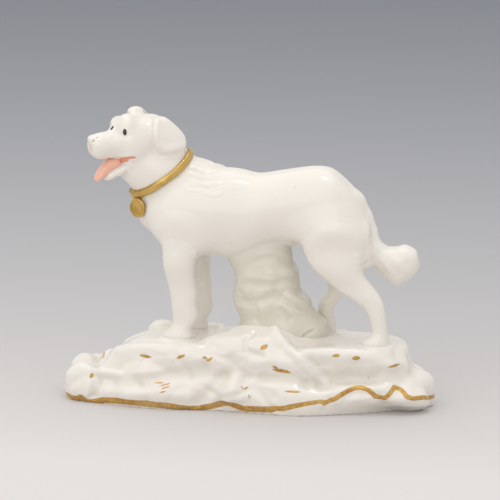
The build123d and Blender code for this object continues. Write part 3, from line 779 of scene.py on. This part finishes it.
def gild_edge(clay, edge, thin, zigzag):
    """The gilt line: three stretches in front, and one round the unseen back that joins their ends."""
    edge = [clay.nearest(point) for point in edge]
    zigzag = [clay.nearest(point) for point in zigzag]
    clay.brush("gilt", [clay.nearest(point - EDGE_DROP) for point in edge], EDGE_WIDTH)
    clay.brush("gilt", [clay.nearest(point - THIN_DROP) for point in thin], THIN_WIDTHS[0],
               end_width=THIN_WIDTHS[1])
    clay.brush("gilt", zigzag, ZIGZAG_WIDTHS[0], end_width=ZIGZAG_WIDTHS[1])
    back = []
    first, last = (math.atan2(point[1] / MOUND_HALF_DEPTH, point[0] / MOUND_HALF_LENGTH)
                   for point in (zigzag[-1], edge[0]))
    for share in np.linspace(0, 1, BACK_POINTS):
        turn = first - BACK_OVERLAP[0] + (last % (2 * math.pi) - first + BACK_OVERLAP[1]) * share
        wave = BACK_HEIGHT + BACK_WAVES[0] * math.sin(5 * turn) + BACK_WAVES[1] * math.sin(9 * turn + 1)
        end_height = (zigzag[-1] if share < 0.5 else edge[0])[2]
        lift = end_height + (wave - end_height) * float(ease(min(share, 1 - share) / BACK_RUN_IN))
        # Seen from well outside, towards the middle
        start = Vector((math.cos(turn) * 2 * MOUND_HALF_LENGTH, math.sin(turn) * 2 * MOUND_HALF_DEPTH, lift))
        start *= MM
        hit = clay.surface().ray_cast(start, Vector((-start.x, -start.y, 0)).normalized())
        if hit[0] is not None:
            back.append(np.array(hit[0]) / MM)
    clay.brush("gilt", back, BACK_WIDTH)


def mound():
    """The rocky mound with its folds, gilt edge and gilt dashes."""
    clay = Clay(pressed("mound", ["base_mound"], MOUND_GRAIN))
    skirt = skirt_share(clay.points)
    clay.points[:, 1] += skirt * (SKIRT_DEPTH + SKIRT_WAVE * np.sin(clay.points[:, 0] / SKIRT_WAVE_STEP))
    clay.settle()
    clay.work_over((clay.points[:, 2] > 1.0) & (clay.facing[:, 2] > -0.6), rounds=14)
    folds = [(width, rise, clay.seen_path(places)) for width, rise, places in MOUND_FOLDS]
    gilt_line = [clay.seen_path(places) for places in (GILT_EDGE, GILT_THIN, GILT_ZIGZAG)]
    dashes = [(clay.seen_path([dash[:2], dash[2:4]]), dash[4]) for dash in GILT_DASHES]
    slab = broken_rock(clay)
    press_folds(clay, folds, slab)
    raise_slip(clay)
    gild_edge(clay, *gilt_line)
    for path, half_width in dashes:
        if path:
            path = [clay.nearest(point) for point in path]
            clay.brush("gilt", path, half_width, DASH_TAPER)
            clay.brush("gilt", clay.far_path(path, DASHES_TURNED), half_width, DASH_TAPER)
    clay.pool_glaze_and_shade()
    # Painted shade on the skirt under the gilt edge
    clay.paint["glaze_pool_and_shade"] += SKIRT_SHADE * np.clip(skirt * 2, 0, 1)
    clay.store()
    return clay.piece


# The dog

# Strokes drawn on the picture: width, rise, places
ROCK_FOLDS = [
    (2.6, -0.8, [(239, 281), (256, 284), (272, 285), (288, 281), (300, 278)]),
    (2.4, -0.6, [(250, 262), (264, 259), (276, 257), (291, 262)]),
    (2.2, -0.7, [(272, 286), (276, 296), (290, 303), (308, 309)]),
    (2.4, -0.7, [(236, 300), (250, 303), (266, 300), (274, 296)]),
    (2.0, -0.6, [(278, 307), (288, 316), (292, 322)]),
    (2.0, -0.5, [(254, 304), (258, 314), (256, 322)]),
    (2.8, 0.6, [(262, 270), (280, 272), (296, 270)]),
    (2.8, 0.7, [(242, 292), (256, 294), (266, 291)]),
    (3.2, 0.8, [(284, 292), (297, 298), (310, 304)])]
ROCK_CLEFT = [(302, 338), (306, 331), (313, 328)]
MUSCLES = [
    (10.0, 1.5, [(306, 234), (322, 228), (340, 225), (356, 229)]),
    (9.0, -0.6, [(330, 246), (344, 246)]),
    (9.0, 1.1, [(162, 234), (174, 229), (188, 233), (197, 243)]),
    (8.0, -0.4, [(174, 250), (184, 250)])]
RUFF_LOCKS = [
    (1.7, 0.36, [(191, 165), (202, 170), (214, 168)]),
    (1.6, 0.36, [(188, 172), (202, 177), (216, 174), (225, 177)]),
    (1.6, 0.30, [(195, 182), (208, 185), (221, 182)]),
    (1.5, 0.28, [(178, 184), (190, 190), (203, 190)]),
    (1.5, 0.25, [(204, 192), (213, 196), (224, 192)]),
    (1.4, -0.30, [(190, 169), (203, 174), (216, 171)]),
    (1.4, -0.28, [(194, 178), (208, 181), (222, 179)]),
    (1.4, -0.24, [(186, 187), (200, 187), (212, 190)])]
FEATHERS = [
    (1.6, 0.35, [(194, 250), (196, 257)]), (1.6, 0.4, [(195, 263), (197, 270)]),
    (1.6, 0.4, [(195, 276), (197, 283)]), (1.5, 0.35, [(195, 289), (197, 296)]),
    (1.4, 0.22, [(354, 256), (361, 257)]), (1.4, 0.22, [(354, 262), (361, 263)]),
    (1.4, 0.22, [(353, 268), (360, 269)])]
TAIL_CURLS = [
    (2.6, -0.34, [(383, 245), (394, 250), (404, 259), (409, 270)]),
    (2.6, -0.34, [(377, 250), (388, 258), (397, 269), (402, 281)]),
    (2.6, -0.32, [(371, 256), (380, 266), (388, 277), (392, 287)]),
    (2.4, -0.30, [(366, 261), (373, 272), (379, 283)]),
    (2.2, 0.22, [(389, 246), (400, 253), (408, 263)]),
    (2.2, 0.22, [(382, 252), (393, 262), (400, 273)])]

# Height on the rock, and how far its left and right edges are moved to the right
ROCK_EDGE = [
    (26, 2.0, 1.6), (33, 2.4, 2.2), (38, 1.8, 1.0), (44, -0.4, -1.6), (49, 1.4, -2.0), (55, 0.4, -2.6),
    (62, 0, -2.8)]
ROCK_HALF_WIDTH = 12
ROCK_CLEFT_REACH = 5
# Wads of clay that fill out the tail's root: middle, radii, lean
WADS = [
    ((47.8, 0, 69.5), (4.2, 5.5, 12.5), -14),
    ((47.5, -5.5, 66.0), (3.8, 4.5, 10.0), -8), ((47.5, 5.5, 66.0), (3.8, 4.5, 10.0), -8)]
# Front ankles: height over the floor, how much is laid on behind, and over what height
ANKLE = 4.0
ANKLE_SWELL = 1.6
ANKLE_REACH = 6.5
# The tail is drawn in by so much at this height, as far out as the plume
TAIL_SHIFT = 1.6
TAIL_HEIGHT = 67
TAIL_REACH = 7
PLUME_START = 60
PLUME_FADE = 6
# Places pressed in with the thumb, or drawn out: place, width, depth, way
PLUME_TIP = ((59.5, 0, 48), 8.0, 2.4, (-0.35, 0, -0.94))
TAIL_CORNER = ((56.0, 0, 66), 7.0, 2.6, (-0.55, 0, -0.84))
PLUME_TOP = ((64.0, 0, 66), 8.0, 1.4, (0, 0, -1))
RUMP_TOP = ((42.0, 0, 91.6), 10.0, 1.2, (-0.65, 0, -0.76))
TAIL_ROOT = ((47.0, 0, 84.0), 7.0, 1.1, (0.85, 0, 0.53))
# Feet are luted into the mound by so much
FOOT_SINK = 0.8
# Grooves between the toes. Each of a groove's points has: how far behind the paw's tip it is, how much
# further on outer toes, how the toes spread there, and its height over the floor
TOE_GROOVE = [(0.2, 0.35, 1.15, 0.6), (0.6, 0.3, 1.1, 3.0), (3.4, 0, 1, 4.6)]
TOE_WIDTH = 1.9
TOE_GROOVE_WIDTH = 0.95
TOE_GROOVE_DEPTH = 0.55


def luted(name, solids, grain, rounds, give, closing, wads=(), open_solids=()):
    """Solids luted into one skin, with slip worked over the seams, whose clefts at open solids stay open.

    Gives the clay, and the number of the solid that each point is of.
    """
    names = list(solids)
    closed = [solid for solid in names if solid not in open_solids]
    piece = pressed(name, closed, grain, wads, closing=closing)
    if open_solids:
        piece = pressed(name, open_solids, grain, pieces=[piece])
    clay = Clay(piece)
    away = {solid: distances(clay.points, solid, 15) for solid in names}
    owner = np.array([away[solid] for solid in names]).argmin(0)
    worked = np.array([solids[solid] for solid in names])[owner]
    for first, second, reach, much in SEAMS:
        if first in away and second in away:
            worked = np.maximum(worked, much * ease(1 - (away[first] + away[second]) / reach))
    clay.work_over(worked, rounds, give)
    clay.work_over(np.minimum(worked * 2, 1), rounds=12)
    return clay, owner


def both_sides(clay, strokes, taper=0.2):
    """Strokes drawn on the picture, and their twins on the far side."""
    drawn = [(width, rise, clay.seen_path(places)) for width, rise, places in strokes]
    for width, rise, path in drawn:
        if path:
            clay.stroke(path, width, rise, taper)
            clay.stroke(clay.far_path(path), width, rise, taper)
    clay.settle()


def lean_rock(clay, rock):
    """The rock leans and narrows as in the picture, and its cleft at the foot is filled."""
    x, y, z = clay.points[rock].T
    side = np.clip((x - (x.min() + x.max()) / 2) / ROCK_HALF_WIDTH, -1, 1)
    heights = [row[0] for row in ROCK_EDGE]
    left, right = (np.interp(z, heights, [row[k] for row in ROCK_EDGE]) for k in (1, 2))
    clay.points[rock, 0] += np.where(side < 0, left, right) * np.abs(side)
    clay.settle()
    clay.work_over(clay.beside(clay.seen_path(ROCK_CLEFT), ROCK_CLEFT_REACH), rounds=260, give=0.3)


def draw_in_tail(clay, tail):
    """The tail hangs close behind the thigh before its plume turns out."""
    share = clay.smoothed(120, tail.astype(float))
    x, y, z = clay.points.T
    hanging = np.exp(-((z - TAIL_HEIGHT) / TAIL_REACH) ** 2)
    clay.points[:, 0] -= TAIL_SHIFT * share * hanging * ease((PLUME_START - x) / PLUME_FADE)


def thicken_ankle(clay, leg):
    """A front leg is as thick at the ankle as above it."""
    x, y, z = clay.points[leg].T
    behind = ease((x - np.median(x[z < FLOOR_OF_PAWS + 20])) / 3 + 0.5)
    by_ankle = np.exp(-((z - FLOOR_OF_PAWS - ANKLE) / ANKLE_REACH) ** 2)
    clay.points[leg, 0] += ANKLE_SWELL * behind * by_ankle


def body():
    """Body, legs, tail and the rock under the belly."""
    solids = list(BODY_SKIN)
    clay, owner = luted("dog_skin", BODY_SKIN, grain=0.4, rounds=500, give=0.4, closing=1.6,
                        wads=WADS, open_solids=["rock_support"])
    rock = owner == solids.index("rock_support")
    lean_rock(clay, rock)
    draw_in_tail(clay, owner == solids.index("tail"))
    clay.points += neck_sag(clay.points)
    clay.settle()
    for leg in LEGS[:2]:
        thicken_ankle(clay, owner == solids.index(leg))
    clay.settle()
    both_sides(clay, MUSCLES, taper=0)
    for strokes in (ROCK_FOLDS, RUFF_LOCKS, FEATHERS, TAIL_CURLS):
        both_sides(clay, strokes)
    for place, width, depth, way in (PLUME_TIP, TAIL_CORNER, PLUME_TOP, RUMP_TOP, TAIL_ROOT):
        clay.stroke([clay.nearest(place)], width, depth, way=way)
    clay.settle()
    paws(clay)
    clay.settle()
    clay.points[clay.points[:, 2] < FLOOR_OF_PAWS + 0.5, 2] -= FOOT_SINK
    clay.settle()
    clay.pool_glaze_and_shade()
    # Painted shade under the belly: the rock is marked to be painted darker and yellower
    clay.paint["stone"] = clay.smoothed(140, rock.astype(float))
    clay.store()
    return parted(clay, owner, solids, sink=0.6)


# Places of the face in the picture
NEAR_EYE = (124.7, 132.0)
FAR_EYE = (112.0, 127.8)
FAR_EAR_FRONT = (126.5, 117.5)
FAR_EAR_WIDTH = 5.5
FAR_EAR_RISE = 1.5
EAR_FOOT = [(159, 144), (163, 150), (169, 153), (176, 153), (184, 149)]
EAR_FOOT_REACH = 4.5
MOUTH_LINE = [(136, 157.4), (131, 157.6), (126, 158.2), (119, 159.4), (112, 159.8), (106, 160.0)]
MOUTH_INSIDE = [(129, 158.6), (122, 161), (114, 162)]
# Places of the head, from the middle of the skull: forward, left, crown
FOREHEAD = (6.5, 0, 10.0)
FOREHEAD_REACH = 10
# Where painted light on the muzzle begins, over what run it grows, and how strong it is
MUZZLE_START = 2
MUZZLE_RUN = 10
MUZZLE_PAINTED_LIGHT = 0.6
NOSE_BRIDGE = (22.5, 0, 5.4)
NOSE_TIP = (23.5, 0.4, 1.2)
LIP_CLEFT = [(23.5, 0, 3.0), (23, 0, -0.5)]
# Strokes of the face: width, rise, taper, places
EYE_HOLLOWS = [
    (1.6, -0.2, 0.0, [(119.5, 134), (123, 137), (129, 136)]),
    (2.2, -0.3, 0.0, [(117, 129), (115, 136)])]
LIPS_AND_EARS = [
    (0.8, -0.42, 0.15, MOUTH_LINE),
    (1.6, 0.22, 0.2, [(134, 154.6), (126, 155), (116, 156.4), (106, 156.6)]),
    (1.6, -0.25, 0.0, [(152, 122), (151.6, 132), (152.4, 143), (154, 152)]),
    (2.4, 0.55, 0.0, [(156.5, 121), (155.4, 132), (156, 142), (157.4, 151)]),
    (3.0, 0.5, 0.0, [(160, 147), (163, 150), (172, 150), (182, 147)]),
    (1.5, -0.25, 0.0, [(156, 153.5), (165, 154.5), (176, 153), (185, 149.5)]),
    (5.0, -0.35, 0.0, [(168, 132), (167, 142)]),
    (2.4, 0.6, 0.0, [(118, 177), (124, 171), (130, 165.5)]),
    (0.8, -0.35, 0.0, [(93.2, 141)])]
# Painted eyes: place, half width, half height
EYES = [(NEAR_EYE, 0.8, 1.3), (FAR_EYE, 0.6, 1.05)]
# Umber at the nostrils: places and half width
NOSTRILS = [([(92.6, 141.4), (94.2, 140.2)], 0.38), ([(96.4, 138), (98, 137.2)], 0.3)]
# Coral in the mouth: places and half width
MOUTH_CORALS = [(MOUTH_LINE, 0.55), (MOUTH_INSIDE, 0.9)]
CORAL_TAPER = 0.12
BLUSH_REACH = 2.6


def head():
    """Head, jaw and ears, with the painted face."""
    clay, owner = luted("head_skin", HEAD_SKIN, grain=0.24, rounds=100, give=0.6, closing=1.3,
                        open_solids=["lower_jaw"])
    forehead = np.linalg.norm(clay.points - in_head(*FOREHEAD), axis=1)
    clay.work_over(ease(1.3 - forehead / FOREHEAD_REACH), rounds=380)
    clay.stroke([clay.seen(*FAR_EAR_FRONT)], FAR_EAR_WIDTH, FAR_EAR_RISE, way=CROWN)
    clay.settle()
    flap = clay.seen_path(EAR_FOOT)
    for path in (flap, head_twin(clay, flap)):
        clay.work_over(clay.beside(path, EAR_FOOT_REACH), rounds=160)
    clay.points += neck_sag(clay.points)
    clay.settle()
    face(clay)
    face_paint(clay)
    clay.pool_glaze_and_shade()
    # Painted light: the muzzle is painted whiter than the rest of the head
    clay.paint["glaze_pool_and_shade"] -= MUZZLE_PAINTED_LIGHT * ease(((clay.points - HEAD) @ FORWARD - MUZZLE_START) / MUZZLE_RUN)
    clay.store()
    return parted(clay, owner, list(HEAD_SKIN), sink=0.5)


def head_twin(clay, path):
    """The line's twin on the other side of the face."""
    gaps = np.asarray(path) - HEAD
    return [clay.nearest(point - 2 * (gap @ LEFT) * LEFT) for point, gap in zip(path, gaps)]


def both_cheeks(clay, width, rise, taper, places):
    """A stroke drawn on the picture of the face, and its twin."""
    path = clay.seen_path(places)
    clay.stroke(path, width, rise, taper)
    clay.stroke(head_twin(clay, path), width, rise, taper)


def face(clay):
    """Eyes, brows, nose, lips and ear edges."""
    for stroke in EYE_HOLLOWS:
        both_cheeks(clay, *stroke)
    clay.stroke([clay.nearest(in_head(*NOSE_BRIDGE))], 2.6, 0.7)
    for place in (NEAR_EYE, FAR_EYE):
        clay.stroke([clay.seen(*place)], 1.5, 0.25)
    for stroke in LIPS_AND_EARS:
        both_cheeks(clay, *stroke)
    clay.stroke([clay.nearest(in_head(*place)) for place in LIP_CLEFT], 0.7, -0.25)
    clay.settle()


def paws(clay):
    """Three grooves between the toes of each paw."""
    for solid in LEGS:
        low, high = (np.array(corner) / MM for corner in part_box(solid))
        mine = np.all((clay.points > low - 0.5) & (clay.points < high + 0.5), axis=1)
        foot = clay.points[(clay.points[:, 2] < FLOOR_OF_PAWS + 4) & mine]
        tip = foot[foot[:, 2] < FLOOR_OF_PAWS + 2.5].min(0)[0]
        middle = foot[foot[:, 0] < tip + 4][:, 1].mean()
        for shift in (-TOE_WIDTH, 0.0, TOE_WIDTH):
            path = [(tip + behind + abs(shift) * more, middle + shift * spread, FLOOR_OF_PAWS + height)
                    for behind, more, spread, height in TOE_GROOVE]
            clay.stroke([clay.nearest(point) for point in path], TOE_GROOVE_WIDTH, -TOE_GROOVE_DEPTH)


def paint_eye(clay, place, half_width, half_height):
    """One dark oval, upright on the face."""
    middle = clay.seen(*place)
    near = np.flatnonzero(np.linalg.norm(clay.points - middle, axis=1) < 4)
    out = clay.facing[near].mean(0)
    out /= np.linalg.norm(out)
    level = np.cross(CROWN, out)
    level /= np.linalg.norm(level)
    upright = np.cross(out, level)
    gap = clay.points[near] - middle
    oval = np.hypot(gap @ level / half_width, gap @ upright / half_height)
    cover = clay.paint.setdefault("iris", np.full(len(clay.points), -1.0))
    cover[near] = np.maximum(cover[near], (1 - oval) * half_width)


def face_paint(clay):
    """Dark eyes, umber nostrils, coral mouth and a pink nose."""
    for eye in EYES:
        paint_eye(clay, *eye)
    for colour, strokes, taper in (("umber", NOSTRILS, 0.0), ("coral", MOUTH_CORALS, CORAL_TAPER)):
        for places, half_width in strokes:
            path = clay.seen_path(places)
            clay.brush(colour, path, half_width, taper)
            clay.brush(colour, head_twin(clay, path), half_width, taper)
    nose = clay.nearest(in_head(*NOSE_TIP))
    blush = 0.9 - np.linalg.norm(clay.points - nose, axis=1) / BLUSH_REACH
    clay.paint["blush"] = np.clip(blush, 0, 1)


def owners_of_faces(mesh, owner, kinds):
    """The number of the solid that each face is of.

    Faces and points vote in turn, so that the seams run even.
    """
    corners = column(mesh.loops, "vertex_index", kind=np.int32)
    totals = column(mesh.polygons, "loop_total", kind=np.int32)
    faces = np.repeat(np.arange(len(totals)), totals)
    for _ in range(5):
        votes = np.bincount(faces * kinds + owner[corners], minlength=len(totals) * kinds)
        of_face = votes.reshape(-1, kinds).argmax(1)
        votes = np.bincount(corners * kinds + of_face[faces], minlength=len(owner) * kinds)
        owner = votes.reshape(-1, kinds).argmax(1)
    return of_face


def close_cut(part, sink):
    """Turns the rim of a cut in below the surface and closes it to one point."""
    pick(part)
    bpy.ops.object.mode_set(mode="EDIT")
    bpy.ops.mesh.select_mode(type="EDGE")
    bpy.ops.mesh.select_all(action="DESELECT")
    bpy.ops.mesh.select_non_manifold(extend=False, use_wire=False, use_boundary=True, use_multi_face=False,
                                     use_non_contiguous=False, use_verts=False)
    bpy.ops.mesh.extrude_edges_move()
    bpy.ops.object.mode_set(mode="OBJECT")
    facing = column(part.data.attributes["glaze_facing"].data, "vector", 3)
    inner = column(part.data.vertices, "select", kind=bool)
    spots = column(part.data.vertices, "co", 3)
    spots[inner] -= facing[inner] * (sink * MM)
    part.data.vertices.foreach_set("co", spots.ravel())
    part.data.update()
    bpy.ops.object.mode_set(mode="EDIT")
    bpy.ops.mesh.extrude_edges_move()
    bpy.ops.mesh.merge(type="COLLAPSE")
    bpy.ops.mesh.select_all(action="SELECT")
    bpy.ops.mesh.normals_make_consistent(inside=False)
    bpy.ops.object.mode_set(mode="OBJECT")
    bpy.ops.object.shade_smooth()


def parted(clay, owner, solids, sink):
    """Parts the joined skin into one piece for each solid, which keeps the joined skin's facing."""
    mesh = clay.piece.data
    of_face = owners_of_faces(mesh, owner, len(solids))
    layer = mesh.attributes.new("glaze_facing", "FLOAT_VECTOR", "POINT")
    layer.data.foreach_set("vector", clay.facing.astype(np.float32).ravel())
    mesh.materials.clear()
    for solid in solids:
        mesh.materials.append(bpy.data.materials.new(f"seam_{solid}"))
    mesh.polygons.foreach_set("material_index", of_face.astype(np.int32))
    pick(clay.piece)
    bpy.ops.object.mode_set(mode="EDIT")
    bpy.ops.mesh.select_all(action="SELECT")
    bpy.ops.mesh.separate(type="MATERIAL")
    bpy.ops.object.mode_set(mode="OBJECT")
    made = {}
    for part in list(bpy.context.selected_objects):
        solid = part.data.materials[0].name.removeprefix("seam_")
        part.name = f"dog_{solid}"
        part.data.materials.clear()
        close_cut(part, sink)
        facing = column(part.data.attributes["glaze_facing"].data, "vector", 3)
        part.data.normals_split_custom_set_from_vertices(facing.tolist())
        part.data.attributes.remove(part.data.attributes["glaze_facing"])
        made[solid] = part
    return made


# Tongue, collar, ring and locket

# The tongue's root lies down on the jaw: where it starts behind the tip, over what length, and how far
TONGUE_ROOT = 3.5
TONGUE_ROOT_RUN = 4
TONGUE_DROP = 0.9
# The collar: half its band, how far its middle is rounded out, and how much narrower it is pressed
BAND_HALF = 1.7
BAND_CROWN = 0.4
BAND_PRESS = 0.14


def small_piece(name, solid, grain, rounds):
    """A piece that is not luted, with its edges softened."""
    piece = pressed(name, [solid], grain)
    finish_with(piece, "SMOOTH", factor=0.5, iterations=rounds)
    return Clay(piece)


def tongue():
    """The tongue: its root lies down on the jaw."""
    clay = small_piece("dog_tongue", "tongue", 0.22, 4)
    behind_tip = clay.points[:, 0] - clay.points[:, 0].min()
    root = ease((behind_tip - TONGUE_ROOT) / TONGUE_ROOT_RUN)
    clay.points[:, 2] -= TONGUE_DROP * root * ease(-2 * clay.facing[:, 2])
    clay.settle()
    clay.pool_glaze_and_shade()
    clay.store()
    return clay.piece


def collar():
    """The collar: a rounded band, with a painted highlight along its middle and painted shade at its edges.
    """
    clay = small_piece("gilt_collar", "collar_band", 0.24, 2)
    gap = clay.points - COLLAR
    along = gap @ NECK
    radial = gap - along[:, None] * NECK
    radial /= np.linalg.norm(radial, axis=1)[:, None]
    outward = ease((clay.facing * radial).sum(1) * 2)
    crown = outward * BAND_CROWN * np.clip(1 - (along / BAND_HALF) ** 2, 0, 1)
    clay.points += radial * crown[:, None]
    clay.points += neck_sag(clay.points) - NECK * (BAND_PRESS * along)[:, None]
    clay.settle()
    clay.pool_glaze_and_shade()
    # Painted highlight along the band's middle and painted shade at its edges
    clay.paint["glaze_pool_and_shade"] = np.clip(clay.paint["glaze_pool_and_shade"] + (along / BAND_HALF) ** 4 * 0.9 - 0.35, -1, 1)
    clay.store()
    return clay.piece


def charm(name, solid, rounds):
    """The plain oval locket, or its ring."""
    clay = small_piece(name, solid, 0.16, rounds)
    clay.pool_glaze_and_shade()
    clay.store()
    return clay.piece


def dress(piece, solid, material):
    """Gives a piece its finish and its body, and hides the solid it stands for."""
    piece.data.materials.clear()
    piece.data.materials.append(material)
    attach(piece, "root")
    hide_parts(solid)


studio()
glaze = white_glaze()
gold = gilding()
enamel = tongue_enamel()
glazed = {"base_mound": mound()} | body() | head()
enamelled = {"tongue": tongue()}
gilded = {
    "collar_band": collar(),
    "locket_ring": charm("gilt_ring", "locket_ring", 2),
    "locket": charm("gilt_locket", "locket", 16)}
for pieces, finish, slot in (
        (glazed, glaze, "porcelain"), (enamelled, enamel, "tongue_glaze"), (gilded, gold, "gilt")):
    for solid, piece in pieces.items():
        dress(piece, solid, finish)
